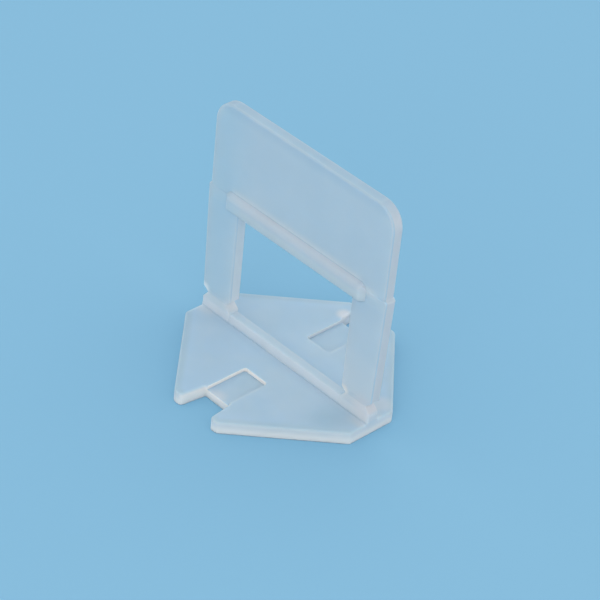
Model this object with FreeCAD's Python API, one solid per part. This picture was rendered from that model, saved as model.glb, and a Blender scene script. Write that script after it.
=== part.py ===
import FreeCAD, Part
import math
import os

# Tile leveling clip, moulded in one piece. Lengths are in millimetres and angles in degrees.
# The base plate lies under the edges of the tiles. The tab stands in the joint between them, along X,
# and a wedge goes through its window along Y. The origin is the middle of the underside, with +Z up.

# Base plate: a long octagon
base_length = 40.0
base_width = 39.9
base_thickness = 2.2
base_end_width = 9.4
base_end_radius = 1.0

# Flared notch in each outer edge of the plate, and the tooth left on each side of it
notch_width = 5.8
notch_depth = 4.9
notch_flare = 7.0
notch_root_radius = 0.35
tooth_width = 1.65
tooth_tip_radius = 1.5
tooth_mouth_radius = 0.8

# Shallow recess that carries each notch on towards the middle
recess_width = 5.3
recess_length = 8.25
recess_depth = 0.7
recess_corner_radius = 0.5

# Rib along the middle of the plate, which the legs stand on
rib_width = 1.6
rib_height = 1.65
rib_draft = 10.0
rib_edge_radius = 0.3

# Legs and the window between them
leg_thickness = 2.2
window_width = 26.7
window_height = 20.45
window_corner_radius = 0.6
shoulder_step = 0.45
shoulder_radius = 0.2
crossbar_height = 2.5

# Neck at the foot of each leg, where the tab snaps off, with its root at neck_height above the rib
neck_height = 1.35
neck_side_depth = 1.05
neck_face_depth = 0.2
neck_rise = 1.1

# Rail along the top of the window, on both faces, which the wedge bears on
rail_proud = 0.9
rail_height = 3.3
rail_top_radius = 1.4
rail_overhang = 2.0
rail_end_slope = 45.0
rail_end_radius = 1.6
rail_nose_radius = 0.8

# Head plate above the window
head_width = 40.4
head_height = 16.3
head_thickness = 2.1
head_corner_radius = 4.0

# Softened edges of the moulding
plate_edge_radius = 0.35
tab_edge_radius = 0.35
rail_edge_radius = 0.3

# Heights and half widths that follow from the sizes above
RIB_TOP = base_thickness + rib_height
NECK_LEVEL = RIB_TOP + neck_height
WINDOW_TOP = RIB_TOP + window_height
SHOULDER_LEVEL = WINDOW_TOP + crossbar_height
HEAD_TOP = SHOULDER_LEVEL + head_height
WINDOW_SIDE = window_width / 2
HEAD_SIDE = head_width / 2
SHOULDER_SIDE = HEAD_SIDE + shoulder_step
FOOT_SIDE = base_length / 2

# How far a cutting or joined body runs past the face that it meets
OVERRUN = 1.0

# Largest share of a side that the arc at one end of it may take
ARC_SHARE = 0.48

# Largest share of a thickness that the radius of its edges may take
EDGE_SHARE = 0.4

# Two heights or distances closer than this are the same
SAME = 1e-6

X_AXIS = FreeCAD.Vector(1, 0, 0)
Y_AXIS = FreeCAD.Vector(0, 1, 0)
Z_AXIS = FreeCAD.Vector(0, 0, 1)


def plan(x, y):
    """A point of an outline drawn on the underside of the plate."""
    return FreeCAD.Vector(x, y, 0)


def front(x, z):
    """A point of an outline drawn in the middle plane of the tab."""
    return FreeCAD.Vector(x, 0, z)


def end(y, z):
    """A point of a section drawn across the joint."""
    return FreeCAD.Vector(0, y, z)


def outline(corners):
    """Closed wire through (point, radius) corners, each one rounded by a tangent arc.

    A radius is limited by the shorter of the two sides that meet there.
    """
    edges = []
    arcs = []
    for i, (point, radius) in enumerate(corners):
        before = corners[i - 1][0] - point
        after = corners[(i + 1) % len(corners)][0] - point
        half_angle = before.getAngle(after) / 2
        reach = radius / math.tan(half_angle)
        reach = min(reach, ARC_SHARE * before.Length, ARC_SHARE * after.Length)
        radius = reach * math.tan(half_angle)
        to_before = FreeCAD.Vector(before).normalize()
        to_after = FreeCAD.Vector(after).normalize()
        inward = (to_before + to_after).normalize()
        middle = point + inward * (radius / math.sin(half_angle) - radius)
        arcs.append((point + to_before * reach, middle, point + to_after * reach, radius))
    for i, (start, middle, finish, radius) in enumerate(arcs):
        if radius > 0:
            edges.append(Part.Arc(start, middle, finish).toShape())
        edges.append(Part.LineSegment(finish, arcs[(i + 1) % len(arcs)][0]).toShape())
    return Part.Wire(edges)


def sharp(points):
    """Closed wire with sharp corners."""
    return Part.makePolygon(points + points[:1])


def slab(wire, direction, start, thickness):
    """The area inside a wire, made solid from start over thickness along direction."""
    face = Part.Face(wire)
    face.translate(direction * start)
    return face.extrude(direction * thickness)


def mirrored(points, x_sign, y_sign):
    return [(plan(x * x_sign, y * y_sign), radius) for x, y, radius in points]


def horizontal_rim(solid, level):
    """Edges of a solid that lie wholly at one height."""
    return [
        edge for edge in solid.Edges
        if abs(edge.BoundBox.ZMin - level) < SAME and abs(edge.BoundBox.ZMax - level) < SAME
    ]


def softened(solid, thickness, lowest, radius):
    """A plate that stands along X, with rounded edges round both faces except at its lower end."""
    rim = [
        edge for edge in solid.Edges
        if abs(abs(edge.CenterOfMass.y) - thickness / 2) < SAME
        and edge.BoundBox.YLength < SAME
        and edge.BoundBox.ZMax > lowest + SAME
    ]
    return solid.makeFillet(min(radius, EDGE_SHARE * thickness), rim)


def base_plate():
    """The octagon with its two notches, its upper rim softened."""
    edge_y = base_width / 2
    root_y = edge_y - notch_depth
    root_x = notch_width / 2
    mouth_x = root_x + notch_depth * math.tan(math.radians(notch_flare))
    quarter = [
        (base_length / 2, base_end_width / 2, base_end_radius),
        (mouth_x + tooth_width, edge_y, tooth_tip_radius),
        (mouth_x, edge_y, tooth_mouth_radius),
        (root_x, root_y, notch_root_radius),
    ]
    corners = mirrored(quarter, 1, 1)
    corners += mirrored(quarter[::-1], -1, 1)
    corners += mirrored(quarter, -1, -1)
    corners += mirrored(quarter[::-1], 1, -1)
    plate = slab(outline(corners), Z_AXIS, 0, base_thickness)
    return plate.makeFillet(plate_edge_radius, horizontal_rim(plate, base_thickness))


def recess(side):
    """The shallow pocket behind the notch on one side, open into the notch."""
    root_y = base_width / 2 - notch_depth
    near_y = root_y - recess_length
    half = recess_width / 2
    corners = [
        (plan(-half, side * near_y), recess_corner_radius),
        (plan(half, side * near_y), recess_corner_radius),
        (plan(half, side * (root_y + OVERRUN)), 0),
        (plan(-half, side * (root_y + OVERRUN)), 0),
    ]
    return slab(outline(corners), Z_AXIS, base_thickness - recess_depth, recess_depth + OVERRUN)


def rib():
    """The rib, wider at its foot by its draft and soft along its top."""
    top = rib_width / 2
    foot = top + (rib_height + OVERRUN) * math.tan(math.radians(rib_draft))
    low = base_thickness - OVERRUN
    section = outline([
        (end(-foot, low), 0),
        (end(foot, low), 0),
        (end(top, RIB_TOP), rib_edge_radius),
        (end(-top, RIB_TOP), rib_edge_radius),
    ])
    return slab(section, X_AXIS, -base_length / 2, base_length)


def frame():
    """The legs and the bar over the window, with soft edges. The legs widen up to the shoulders."""
    low = base_thickness / 2
    sides = [
        (front(-FOOT_SIDE, low), 0),
        (front(FOOT_SIDE, low), 0),
        (front(SHOULDER_SIDE, SHOULDER_LEVEL - shoulder_step), shoulder_radius),
        (front(HEAD_SIDE, SHOULDER_LEVEL), 0),
        (front(-HEAD_SIDE, SHOULDER_LEVEL), 0),
        (front(-SHOULDER_SIDE, SHOULDER_LEVEL - shoulder_step), shoulder_radius),
    ]
    window = [
        (front(-WINDOW_SIDE, low - OVERRUN), 0),
        (front(WINDOW_SIDE, low - OVERRUN), 0),
        (front(WINDOW_SIDE, WINDOW_TOP), window_corner_radius),
        (front(-WINDOW_SIDE, WINDOW_TOP), window_corner_radius),
    ]
    body = slab(outline(sides), Y_AXIS, -leg_thickness / 2, leg_thickness)
    body = body.cut(slab(outline(window), Y_AXIS, -leg_thickness, 2 * leg_thickness))
    return softened(body, leg_thickness, low, tab_edge_radius)


def groove(place, root, surface, axis, half_length):
    """Prism with a V section, from its root at the neck to beyond the surface that it opens.

    Its lower flank starts at the top of the rib.
    """
    stretch = 1 + OVERRUN / abs(surface - root)
    mouth = root + (surface - root) * stretch
    section = sharp([
        place(root, NECK_LEVEL),
        place(mouth, NECK_LEVEL + neck_rise * stretch),
        place(mouth, NECK_LEVEL - neck_height * stretch),
    ])
    return slab(section, axis, -half_length, 2 * half_length)


def necks():
    """The V grooves that thin both legs all round."""
    face = leg_thickness / 2
    outer_root = FOOT_SIDE - neck_side_depth
    inner_root = WINDOW_SIDE + neck_side_depth
    grooves = []
    for side in (-1, 1):
        grooves.append(groove(front, side * outer_root, side * FOOT_SIDE, Y_AXIS, leg_thickness))
        grooves.append(groove(front, side * inner_root, side * WINDOW_SIDE, Y_AXIS, leg_thickness))
        grooves.append(groove(end, side * (face - neck_face_depth), side * face, X_AXIS, base_length))
    return grooves


def rail():
    """The bar over the window, proud of both faces and rounded along its top, with sloping ends."""
    proud = leg_thickness / 2 + rail_proud
    top = WINDOW_TOP + rail_height
    section = outline([
        (end(-proud, WINDOW_TOP), rail_edge_radius),
        (end(proud, WINDOW_TOP), rail_edge_radius),
        (end(proud, top), rail_top_radius),
        (end(-proud, top), rail_top_radius),
    ])
    reach = WINDOW_SIDE + rail_overhang
    foot = reach + rail_proud / math.tan(math.radians(rail_end_slope))
    tip = reach + proud / math.tan(math.radians(rail_end_slope))
    bar = slab(section, X_AXIS, -tip, 2 * tip)
    ends = outline([
        (front(-foot, WINDOW_TOP), rail_edge_radius),
        (front(foot, WINDOW_TOP), rail_edge_radius),
        (front(foot, top), rail_end_radius),
        (front(-foot, top), rail_end_radius),
    ])
    slopes = outline([
        (plan(-reach, -proud), rail_nose_radius),
        (plan(reach, -proud), rail_nose_radius),
        (plan(tip, 0), 0),
        (plan(reach, proud), rail_nose_radius),
        (plan(-reach, proud), rail_nose_radius),
        (plan(-tip, 0), 0),
    ])
    bar = bar.common(slab(ends, Y_AXIS, -proud - OVERRUN, 2 * (proud + OVERRUN)))
    return bar.common(slab(slopes, Z_AXIS, WINDOW_TOP - OVERRUN, rail_height + 2 * OVERRUN))


def head():
    """The plate above the shoulders, with rounded upper corners and soft edges."""
    low = SHOULDER_LEVEL - crossbar_height / 2
    corners = [
        (front(-HEAD_SIDE, low), 0),
        (front(HEAD_SIDE, low), 0),
        (front(HEAD_SIDE, HEAD_TOP), head_corner_radius),
        (front(-HEAD_SIDE, HEAD_TOP), head_corner_radius),
    ]
    body = slab(outline(corners), Y_AXIS, -head_thickness / 2, head_thickness)
    return softened(body, head_thickness, low, tab_edge_radius)


def clip():
    """The whole moulding as one solid."""
    plate = base_plate()
    for side in (-1, 1):
        plate = plate.cut(recess(side))
    legs = frame()
    for cutter in necks():
        legs = legs.cut(cutter)
    return plate.fuse([rib(), legs, rail(), head()]).removeSplitter()


os.makedirs("parts", exist_ok=True)
moulding = clip()
moulding.exportStep("parts/clip.step")
print("solids", len(moulding.Solids), "valid", moulding.isValid(), "faces", len(moulding.Faces))
print("volume", round(moulding.Volume, 1), "mm3, box", moulding.BoundBox)
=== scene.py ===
import math

import bpy
from bpy.props import FloatProperty, FloatVectorProperty, PointerProperty
from mathutils import Matrix, Vector


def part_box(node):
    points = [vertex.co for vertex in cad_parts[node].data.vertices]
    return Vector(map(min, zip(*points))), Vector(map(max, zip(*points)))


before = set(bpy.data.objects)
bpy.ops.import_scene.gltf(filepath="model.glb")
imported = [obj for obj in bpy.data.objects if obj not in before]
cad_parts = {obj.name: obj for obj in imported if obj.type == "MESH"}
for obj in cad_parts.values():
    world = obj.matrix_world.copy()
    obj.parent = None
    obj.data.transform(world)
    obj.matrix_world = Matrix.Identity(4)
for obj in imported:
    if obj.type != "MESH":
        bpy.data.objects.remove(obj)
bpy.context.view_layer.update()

# The tile leveling clip is one moulding, so its CAD node stays as it is and gets the finish of natural,
# milky polypropylene. The stage is a pale blue sheet of paper under soft light. Lengths are in metres,
# apart from places on the clip, which are in millimetres in its own frame: X along the tab, Y across it.

bl_info = {
    "name": "Tile leveling clip",
    "version": (1, 0, 0),
    "blender": (4, 5, 0),
    "location": "3D View > Sidebar > Leveling clip",
    "description": "Gives the moulded clip its milky finish and sets it on a pale sheet under soft light",
    "category": "Object",
}

MILLIMETRES = 1000.0

# Levels of the clip, and half widths from its middle
PLATE_TOP = 2.2
RIB_TOP = 3.85
RAIL_LOW = 24.3
RAIL_TOP = 27.6
HEAD_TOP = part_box("clip")[1][2] * MILLIMETRES
TAB_FACE = 1.1
NOTCH_SIDE = 3.5
PLATE_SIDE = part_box("clip")[1][1] * MILLIMETRES

# Ends of the slanting edge on one quarter of the plate's outline
END_CORNER = Vector((20.0, 4.7))
TOOTH_CORNER = Vector((5.15, 19.95))

# Painted highlights and painted shade, spot by spot: glints at the necks' notches and at the far notch's
# tooth, painted light over the shaded foot of the far notch's wall, at the right leg's foot, on the left
# leg's inner notch, on the plate behind the right end and on the near notch's root wall, and one spot of
# painted shade on the plate in front of the right end. For each: the centre, the reach, how strongly, and
# the colour there
PAINTED_GLINTS_AND_SHADE = (
    ((-19.6, -0.9, 5.9), 1.5, 1.0, (0.92, 0.98, 1.0)),
    ((14.2, -1.1, 5.8), 1.2, 1.0, (0.88, 0.84, 0.79)),
    ((-3.5, 16.3, 2.0), 1.9, 0.6, (0.90, 0.86, 0.86)),
    ((-3.2, 16.9, 0.0), 1.6, 1.0, (0.96, 0.98, 1.0)),
    ((18.6, -0.8, 4.8), 3.4, 0.5, (0.83, 0.78, 0.78)),
    ((-13.7, 0.3, 5.6), 2.4, 0.6, (0.88, 0.86, 0.85)),
    ((15.2, -5.6, 2.2), 3.4, 0.6, (0.42, 0.61, 0.74)),
    ((17.4, 4.2, 2.2), 3.0, 0.4, (0.86, 0.84, 0.84)),
    ((-0.5, -15.1, 0.9), 2.6, 0.35, (0.90, 0.82, 0.77)),
)

# The clouds of milk in the plastic, and its index of refraction
MILK_COLOUR = (0.95, 0.96, 0.97)
MILK_STRENGTH = 0.10
POLYPROPYLENE_IOR = 1.49

# How much shorter the way of light is where much plastic lies behind the surface
DENSE_REACH = 0.25

# The camera: turned about the clip, tilted down and rolled, in degrees, its distance and side steps, and
# its focal length in pixels of a picture of this width
CAMERA_TURN = 43.472
CAMERA_TILT = 36.204
CAMERA_ROLL = 6.157
CAMERA_DISTANCE = 0.40008
CAMERA_STEPS = (0.002278, 0.011602)
FOCAL_PIXELS = 2435.365
PICTURE_WIDTH = 600
SENSOR_WIDTH = 36

# The lamps look at this height above the middle of the clip
LAMP_TARGET = Vector((0, 0, 0.02))

# The sheet lies this far under the clip, so that the two surfaces don't share a plane
SHEET_DROP = 0.00002


class Value:
    """An output of a node, on which Python's arithmetic adds Math nodes."""

    def __init__(self, finish, socket):
        self.finish = finish
        self.socket = socket

    def maths(self, operation, *values):
        sockets = dict(enumerate(values))
        return self.finish.node("ShaderNodeMath", {"operation": operation}, sockets)

    def __add__(self, other):
        return self.maths("ADD", self, other)

    def __radd__(self, other):
        return self.maths("ADD", other, self)

    def __sub__(self, other):
        return self.maths("SUBTRACT", self, other)

    def __rsub__(self, other):
        return self.maths("SUBTRACT", other, self)

    def __mul__(self, other):
        return self.maths("MULTIPLY", self, other)

    def __rmul__(self, other):
        return self.maths("MULTIPLY", other, self)

    def __abs__(self):
        return self.maths("ABSOLUTE", self)

    def larger(self, other):
        return self.maths("MAXIMUM", self, other)

    def smaller(self, other):
        return self.maths("MINIMUM", self, other)

    def rise(self, low, high):
        """0 below low and 1 above high, with a soft rise between them."""
        settings = {"interpolation_type": "SMOOTHSTEP"}
        return self.finish.node("ShaderNodeMapRange", settings, {"Value": self, 1: low, 2: high})

    def fall(self, low, high):
        """1 below low and 0 above high, with a soft fall between them."""
        return 1 - self.rise(low, high)


class Finish:
    """A material, or the world, that is being put together from nodes."""

    def __init__(self, owner, output):
        owner.use_nodes = True
        self.tree = owner.node_tree
        self.tree.nodes.clear()
        self.output = self.tree.nodes.new(output)

    def node(self, kind, settings=None, sockets=None, result=0):
        """Adds a node of a type: its settings first, then its sockets' values or links. Gives one output."""
        made = self.tree.nodes.new(kind)
        for name, value in (settings or {}).items():
            setattr(made, name, value)
        for name, value in (sockets or {}).items():
            if isinstance(value, Value):
                self.tree.links.new(value.socket, made.inputs[name])
            else:
                made.inputs[name].default_value = value
        return Value(self, made.outputs[result])

    def blend(self, factor, first, second):
        """A colour between two colours, each of them a link or three numbers."""
        first, second = (each if isinstance(each, Value) else (*each, 1) for each in (first, second))
        settings = {"data_type": "RGBA", "blend_type": "MIX"}
        return self.node("ShaderNodeMix", settings, {0: factor, 6: first, 7: second}, 2)

    def place(self):
        """The place on the object, in millimetres."""
        spot = self.node("ShaderNodeTexCoord", result=3)
        sockets = {"Vector": spot, "Scale": MILLIMETRES}
        return self.node("ShaderNodeVectorMath", {"operation": "SCALE"}, sockets)

    def split(self, vector):
        """The three parts of a vector."""
        first = self.node("ShaderNodeSeparateXYZ", sockets={"Vector": vector})
        return [Value(self, first.socket.node.outputs[i]) for i in range(3)]

    def glow(self, place, centre, reach):
        """1 near a point, from which it falls to 0 at reach."""
        distance = self.node("ShaderNodeVectorMath", {"operation": "DISTANCE"}, {0: place, 1: centre}, 1)
        return distance.fall(0.3 * reach, reach)

    def noise(self, place, size, detail, roughness=0.5):
        """A noise from 0 to 1 whose blots are about size millimetres."""
        sockets = {"Vector": place, "Scale": 1 / size, "Detail": detail, "Roughness": roughness}
        return self.node("ShaderNodeTexNoise", {"noise_dimensions": "3D"}, sockets)

    def bump(self, height, distance, strength, under=None):
        """A relief, on top of another one where under is given."""
        sockets = {"Strength": strength, "Distance": distance, "Height": height}
        if under:
            sockets["Normal"] = under
        return self.node("ShaderNodeBump", sockets=sockets)

    def finished(self, shader):
        self.tree.links.new(shader.socket, self.output.inputs["Surface"])


class Regions:
    """Where a point of the clip lies and which way it faces. Each region is 1 inside and 0 outside."""

    def __init__(self, finish):
        self.place = finish.place()
        self.across, self.deep, self.up = finish.split(self.place)
        facing = finish.node("ShaderNodeNewGeometry", result=1)
        self.facing_x, self.facing_y, self.facing_z = [abs(part) for part in finish.split(facing)]
        self.side_on = 1 - self.facing_z
        self.tab = self.up.rise(PLATE_TOP, PLATE_TOP + 0.3)
        self.plate = 1 - self.tab
        self.legs = self.up.rise(RIB_TOP - 0.05, RIB_TOP + 0.45)
        self.rail = self.rail_region()
        self.rim = self.rim_region()

    def rail_region(self):
        levels = self.up.rise(RAIL_LOW - 0.2, RAIL_LOW + 0.1) * self.up.fall(RAIL_TOP - 0.1, RAIL_TOP + 0.2)
        return levels * abs(self.deep).rise(TAB_FACE - 0.02, TAB_FACE + 0.06)

    def rim_region(self):
        """The plate near its slanting edges and its two outer edges."""
        along = (TOOTH_CORNER - END_CORNER).normalized()
        outward = (along.y, -along.x)
        reach = END_CORNER.x * outward[0] + END_CORNER.y * outward[1]
        slanting = reach - abs(self.across) * outward[0] - abs(self.deep) * outward[1]
        inside = slanting.smaller(PLATE_SIDE - abs(self.deep))
        return self.plate * inside.fall(0.2, 1.7)


class ClipSettings(bpy.types.PropertyGroup):
    """What a user would change on the clip."""

    face_colour: FloatVectorProperty(
        name="Tab colour",
        description="Colour of the tab's thin walls, through which the surroundings shine",
        subtype="COLOR", size=3, min=0, max=1, default=(0.67, 0.765, 0.83),
    )
    plate_colour: FloatVectorProperty(
        name="Plate colour",
        description="Colour of the base plate from above, where the sheet under it shines through",
        subtype="COLOR", size=3, min=0, max=1, default=(0.52, 0.71, 0.88),
    )
    rim_colour: FloatVectorProperty(
        name="Rim colour",
        description="Colour of the plate along its outline, seen from above",
        subtype="COLOR", size=3, min=0, max=1, default=(0.48, 0.65, 0.76),
    )
    # Painted light: the plate along the foot of the rib is lighter and bluer, against the shade in the
    # crease
    crease_light_colour: FloatVectorProperty(
        name="Crease colour",
        description="Colour of the plate along the foot of the rib",
        subtype="COLOR", size=3, min=0, max=1, default=(0.67, 0.82, 0.95),
    )
    # Painted shade: the tab's up-facing faces are darker than its upright faces, against the light from
    # above
    crown_shade_colour: FloatVectorProperty(
        name="Crown colour",
        description="Colour of the tab's edges that face up",
        subtype="COLOR", size=3, min=0, max=1, default=(0.50, 0.655, 0.78),
    )
    # Painted shade: the tab's soft corners are darker, against the light they gather from both sides
    bevel_shade_colour: FloatVectorProperty(
        name="Bevel colour",
        description="Colour of the tab's soft corners, which gather light from both sides",
        subtype="COLOR", size=3, min=0, max=1, default=(0.54, 0.68, 0.78),
    )
    shade_colour: FloatVectorProperty(
        name="Shade colour",
        description="Colour of the tab's faces towards its far end, where less light comes through",
        subtype="COLOR", size=3, min=0, max=1, default=(0.58, 0.765, 0.865),
    )
    # Painted light: the tab's narrow outer sides are lighter, as light shines out of them
    side_light_colour: FloatVectorProperty(
        name="Side colour",
        description="Colour of the tab's two narrow outer sides",
        subtype="COLOR", size=3, min=0, max=1, default=(0.75, 0.755, 0.775),
    )
    rail_colour: FloatVectorProperty(
        name="Rail colour",
        description="Colour of the rail over the window",
        subtype="COLOR", size=3, min=0, max=1, default=(0.79, 0.85, 0.86),
    )
    # Painted shade: the rail's up-facing rounded top is darker than its face
    crest_shade_colour: FloatVectorProperty(
        name="Crest colour",
        description="Colour of the rail's rounded top",
        subtype="COLOR", size=3, min=0, max=1, default=(0.645, 0.717, 0.79),
    )
    # Painted shade under the head's upper edge and along the plate's far rim
    brim_shade_colour: FloatVectorProperty(
        name="Brim colour",
        description="Colour under the head's upper edge and along the plate's far rim",
        subtype="COLOR", size=3, min=0, max=1, default=(0.44, 0.59, 0.72),
    )
    # Partly the whiter milk of thick plastic, and partly painted light: it also colours the painted
    # highlights in the same mask
    edge_and_highlight_colour: FloatVectorProperty(
        name="Edge colour",
        description="Colour of the walls, the rail and the rib, where more plastic lies behind the surface",
        subtype="COLOR", size=3, min=0, max=1, default=(0.88, 0.86, 0.83),
    )
    face_clearness: FloatProperty(
        name="Face clearness",
        description="Share of the light that goes through the thin walls and isn't scattered in them",
        subtype="FACTOR", min=0, max=1, default=0.3,
    )
    edge_clearness: FloatProperty(
        name="Edge clearness",
        description="The same share at the walls, the rail and the rib",
        subtype="FACTOR", min=0, max=1, default=0.02,
    )
    roughness: FloatProperty(
        name="Roughness",
        description="Roughness of the satin surface",
        subtype="FACTOR", min=0, max=1, default=0.42,
    )
    milk_reach: FloatProperty(
        name="Milk reach",
        description="How far light spreads inside the milky plastic",
        subtype="DISTANCE", unit="LENGTH", min=0.0001, max=0.02, default=0.003, precision=4,
    )
    grain_depth: FloatProperty(
        name="Grain depth",
        description="Depth of the fine grain left by the mould",
        subtype="DISTANCE", unit="LENGTH", min=0, max=0.0001, default=0.000004, precision=6,
    )


class StageSettings(bpy.types.PropertyGroup):
    """What a user would change around the clip."""

    floor_colour: FloatVectorProperty(
        name="Floor colour",
        description="Colour of the sheet that the clip stands on",
        subtype="COLOR", size=3, min=0, max=1, default=(0.246, 0.515, 0.730),
    )
    floor_size: FloatProperty(
        name="Floor size",
        description="Side of the square sheet",
        subtype="DISTANCE", unit="LENGTH", min=0.2, max=20, default=6.0,
    )
    softbox_power: FloatProperty(
        name="Softbox power",
        description="Power of the wide lamp overhead",
        subtype="POWER", unit="POWER", min=0, max=50, default=0.35,
    )
    fill_power: FloatProperty(
        name="Fill lamp power",
        description="Power of the low lamp in front, which lifts the upright faces",
        subtype="POWER", unit="POWER", min=0, max=50, default=0.6,
    )
    room_level: FloatProperty(
        name="Room light",
        description="Level of the even light from all round",
        min=0, max=3, default=0.9,
    )


def density_and_painted_light(at):
    """How much plastic lies behind the surface, from 0 on the thin walls to 1, before the painted spots.
    The same mask also carries painted light: painted highlights on the tab's sides, the rib, the necks, the
    rail's right end, the right leg, the rail's ridge and the plate's ends, and the plate's walls kept less
    white on their upper part and on the far side.
    """
    outside = abs(at.across).rise(NOTCH_SIDE - 0.1, NOTCH_SIDE + 0.7)
    upper_wall = at.up.rise(0.5, 1.9) * outside
    far_wall = at.deep.rise(5.0, 6.0)
    ridge_highlight = at.up.rise(25.8, 27.4) * at.up.fall(27.5, 28.9) * abs(at.across).fall(14.0, 15.6)
    shoulder_highlight = at.across.rise(14.0, 16.0) * at.across.fall(17.0, 19.5)
    plate_end_highlight = at.plate * at.facing_z * abs(at.across).rise(15.0, 19.0) * abs(at.deep).fall(1.5, 3.5)
    # Painted highlights, in order: the tab's sides, the rib (also thick plastic), the necks, the rail's
    # right end, the right leg's lower half, the rail's ridge, the plate's ends
    parts = (
        at.legs * at.facing_x * 0.3,
        at.tab * at.up.fall(3.7, 4.7) * (0.19 + at.side_on * 0.38),
        at.legs * at.side_on * at.up.fall(5.0, 6.6) * 0.3,
        at.up.rise(25.4, 26.4) * at.up.fall(26.8, 27.8) * shoulder_highlight * 0.4,
        at.legs * at.across.rise(10.0, 14.0) * at.up.fall(9.0, 18.0) * 0.2,
        ridge_highlight * (0.45 - at.rail * 0.2),
        plate_end_highlight * 0.4,
    )
    dense_and_painted_light = at.plate * at.side_on * (1 - upper_wall * 0.42) * (1 - far_wall * 0.45)
    for part in parts:
        dense_and_painted_light = dense_and_painted_light.larger(part)
    return dense_and_painted_light


def tint(finish, settings, at, dense_and_painted_light):
    """The clip's colour before the painted spots: a base, and layers of other colours over it, among them
    painted shade and painted highlights.
    """
    mottle = finish.noise(at.place, 11.0, 2.0)
    colour = finish.blend(mottle.rise(0.4, 0.75) * 0.5, settings.plate_colour, settings.rim_colour)
    far_end = at.across.fall(-16.0, -10.0)
    bevel_shade = (at.facing_y * (1 - at.facing_y)).rise(0.05, 0.25)
    # Painted shade: the far rim, the faces' and rail's far end, the crown, the rail's rounded top, the soft
    # corners and the brim under the head's top. Painted light: the dense mask's highlights, the outer sides
    # and the plate along the rib's foot.
    layers = (
        (at.legs, settings.face_colour),
        (at.rim, settings.rim_colour),
        (at.rim * at.across.fall(-12.0, -4.0) * 0.4, settings.brim_shade_colour),
        (at.legs * at.across.fall(-18.0, -9.0) * at.facing_y * 0.5, settings.shade_colour),
        (at.legs * at.facing_z * (1 - at.rail), settings.crown_shade_colour),
        (at.rail, settings.rail_colour),
        (at.rail * at.up.rise(25.2, 27.0), settings.crest_shade_colour),
        (at.rail * far_end * 0.5, settings.shade_colour),
        (dense_and_painted_light, settings.edge_and_highlight_colour),
        (at.legs * at.facing_x * abs(at.across).rise(15.0, 18.0), settings.side_light_colour),
        (bevel_shade * at.legs * (1 - at.rail), settings.bevel_shade_colour),
        (at.plate * at.facing_z * abs(at.deep).fall(1.2, 2.4) * 0.5, settings.crease_light_colour),
        (
            at.up.rise(HEAD_TOP - 2.5, HEAD_TOP - 0.2) * at.up.fall(HEAD_TOP - 0.1, HEAD_TOP - 0.02) * 0.5,
            settings.brim_shade_colour,
        ),
    )
    for share, layer in layers:
        colour = finish.blend(share, colour, layer)
    return colour


def clip_finish(settings):
    """Milky natural polypropylene: blue-grey and clearer on the thin walls, whiter where it is thick, with
    painted highlights and painted shade in its colour.
    """
    material = bpy.data.materials.new("natural_polypropylene")
    finish = Finish(material, "ShaderNodeOutputMaterial")
    at = Regions(finish)
    dense_and_painted_light = density_and_painted_light(at)
    colour = tint(finish, settings, at, dense_and_painted_light)
    # Lay the painted highlights and painted shade over the colour, spot by spot; each spot also raises the
    # mask
    for centre, reach, strength, painted_spot_colour in PAINTED_GLINTS_AND_SHADE:
        painted_spot = finish.glow(at.place, centre, reach) * strength
        colour = finish.blend(painted_spot, colour, painted_spot_colour)
        dense_and_painted_light = dense_and_painted_light.larger(painted_spot)

    clouds = finish.noise(at.place, 7.0, 2.0)
    milk = finish.blend(clouds.rise(0.35, 0.75) * MILK_STRENGTH, colour, MILK_COLOUR)
    grain = finish.noise(at.place, 0.16, 3.0, 0.6)
    satin = settings.roughness + (grain - 0.5) * 0.10 + (clouds - 0.5) * 0.08
    waves = finish.bump(finish.noise(at.place, 9.0, 1.0), distance=0.0003, strength=0.35)
    relief = finish.bump(grain, distance=settings.grain_depth, strength=1.0, under=waves)
    shaders = [
        finish.node("ShaderNodeBsdfPrincipled", {"subsurface_method": "RANDOM_WALK"}, {
            "Base Color": milk,
            "Roughness": satin,
            "IOR": POLYPROPYLENE_IOR,
            "Transmission Weight": clearness,
            "Subsurface Weight": 1.0,
            "Subsurface Radius": (1.0, 1.0, 1.0),
            "Subsurface Scale": reach,
            "Normal": relief,
        })
        for clearness, reach in (
            (settings.face_clearness, settings.milk_reach),
            (settings.edge_clearness, settings.milk_reach * DENSE_REACH),
        )
    ]
    sockets = {0: dense_and_painted_light.larger(at.plate * 0.5), 1: shaders[0], 2: shaders[1]}
    finish.finished(finish.node("ShaderNodeMixShader", sockets=sockets))
    return material


def floor_finish(settings):
    """A matt sheet of pale blue paper with a faint tooth."""
    material = bpy.data.materials.new("pale_sheet")
    finish = Finish(material, "ShaderNodeOutputMaterial")
    tooth = finish.noise(finish.place(), 0.8, 2.0)
    finish.finished(finish.node("ShaderNodeBsdfPrincipled", sockets={
        "Base Color": (*settings.floor_colour, 1),
        "Roughness": 0.85,
        "Specular IOR Level": 0.2,
        "Normal": finish.bump(tooth, distance=0.00005, strength=0.2),
    }))
    return material


def room(settings):
    """Even white light from all round, which the camera sees as the floor's colour."""
    world = bpy.data.worlds.new("room")
    bpy.context.scene.world = world
    finish = Finish(world, "ShaderNodeOutputWorld")
    outputs = finish.node("ShaderNodeLightPath").socket.node.outputs
    camera, gloss, through = (
        Value(finish, outputs[name])
        for name in ("Is Camera Ray", "Is Glossy Ray", "Is Transmission Ray")
    )
    light = finish.node("ShaderNodeBackground", sockets={
        "Color": (1, 1, 1, 1),
        "Strength": settings.room_level,
    })
    view = finish.node("ShaderNodeBackground", sockets={
        "Color": (*settings.floor_colour, 1),
        "Strength": 1.0,
    })
    sockets = {0: camera.larger(gloss).larger(through), 1: light, 2: view}
    finish.finished(finish.node("ShaderNodeMixShader", sockets=sockets))


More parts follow.
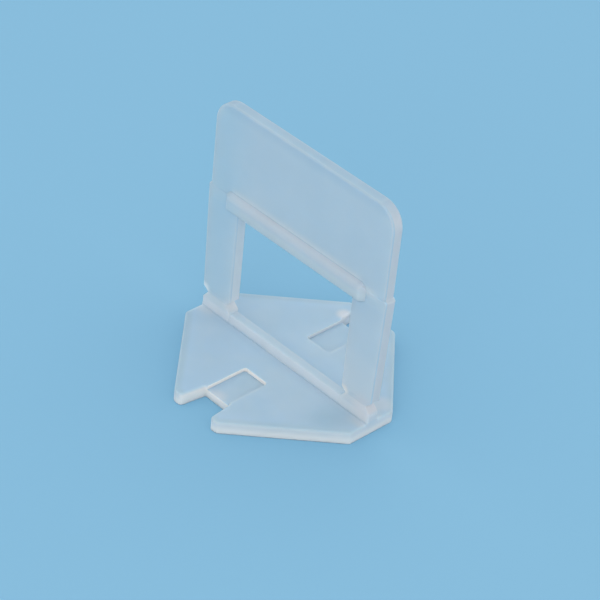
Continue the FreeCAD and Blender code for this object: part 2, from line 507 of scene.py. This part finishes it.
def lamp(name, place, size, power, colour):
    """A square softbox that looks at the middle of the clip."""
    data = bpy.data.lights.new(name, "AREA")
    data.shape = "SQUARE"
    data.size = size
    data.energy = power
    data.color = colour
    made = bpy.data.objects.new(name, data)
    made.location = place
    made.rotation_euler = (LAMP_TARGET - made.location).to_track_quat("-Z", "Y").to_euler()
    bpy.context.scene.collection.objects.link(made)


def sheet(settings):
    """The square sheet that the clip stands on."""
    half = settings.floor_size / 2
    corners = [(-half, -half, 0), (half, -half, 0), (half, half, 0), (-half, half, 0)]
    mesh = bpy.data.meshes.new("floor")
    mesh.from_pydata(corners, [], [(0, 1, 2, 3)])
    mesh.materials.append(floor_finish(settings))
    floor = bpy.data.objects.new("floor", mesh)
    floor.location.z = -SHEET_DROP
    bpy.context.scene.collection.objects.link(floor)


def photo_camera():
    """The camera, turned about the clip, tilted down and rolled a little, as the picture was taken."""
    turn, tilt, roll = (math.radians(angle) for angle in (CAMERA_TURN, CAMERA_TILT, CAMERA_ROLL))
    back = Vector((math.sin(turn) * math.cos(tilt), -math.cos(turn) * math.cos(tilt), math.sin(tilt)))
    right = Vector((math.cos(turn), math.sin(turn), 0))
    above = back.cross(right)
    side = math.cos(roll) * right + math.sin(roll) * above
    top = math.cos(roll) * above - math.sin(roll) * right
    data = bpy.data.cameras.new("camera")
    data.sensor_width = SENSOR_WIDTH
    data.lens = FOCAL_PIXELS / PICTURE_WIDTH * SENSOR_WIDTH
    data.clip_start = 0.01
    made = bpy.data.objects.new("camera", data)
    place = back * CAMERA_DISTANCE + side * CAMERA_STEPS[0] + top * CAMERA_STEPS[1]
    axes = Matrix((side, top, back)).transposed()
    made.matrix_world = Matrix.Translation(place) @ axes.to_4x4()
    bpy.context.scene.collection.objects.link(made)
    bpy.context.scene.camera = made


class CLIP_OT_finish(bpy.types.Operator):
    """Gives the clip the finish of milky natural polypropylene, with painted highlights and painted shade in
    its colour
    """

    bl_idname = "clip.finish"
    bl_label = "Finish the clip"

    def execute(self, context):
        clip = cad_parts["clip"]
        if not clip.data.materials:
            raise RuntimeError("the clip has no material slot")
        material = clip_finish(context.scene.clip_settings)
        for i in range(len(clip.data.materials)):
            clip.data.materials[i] = material
        return {"FINISHED"}


class CLIP_OT_stage(bpy.types.Operator):
    """Sets the sheet, the lamps, the room light and the camera"""

    bl_idname = "clip.stage"
    bl_label = "Set the stage"

    def execute(self, context):
        settings = context.scene.clip_stage
        sheet(settings)
        room(settings)
        lamp("softbox", (-0.10, 0.25, 0.60), 0.6, settings.softbox_power, (1.0, 0.99, 0.97))
        lamp("fill_lamp", (0.30, -0.50, 0.14), 0.4, settings.fill_power, (1.0, 0.98, 0.96))
        photo_camera()
        context.scene.view_settings.view_transform = "Standard"
        return {"FINISHED"}


class CLIP_PT_panel(bpy.types.Panel):
    """Sizes and colours of the clip and its stage"""

    bl_idname = "CLIP_PT_panel"
    bl_label = "Tile leveling clip"
    bl_space_type = "VIEW_3D"
    bl_region_type = "UI"
    bl_category = "Leveling clip"

    def draw(self, context):
        groups = ((context.scene.clip_settings, "clip.finish"), (context.scene.clip_stage, "clip.stage"))
        for settings, operator in groups:
            box = self.layout.box()
            for name in settings.__annotations__:
                box.prop(settings, name)
            box.operator(operator)


CLASSES = (ClipSettings, StageSettings, CLIP_OT_finish, CLIP_OT_stage, CLIP_PT_panel)


def register():
    for each in CLASSES:
        bpy.utils.register_class(each)
    bpy.types.Scene.clip_settings = PointerProperty(type=ClipSettings)
    bpy.types.Scene.clip_stage = PointerProperty(type=StageSettings)


def unregister():
    del bpy.types.Scene.clip_stage
    del bpy.types.Scene.clip_settings
    for each in reversed(CLASSES):
        bpy.utils.unregister_class(each)


def main():
    register()
    bpy.ops.clip.finish()
    bpy.ops.clip.stage()


if __name__ == "__main__":
    main()
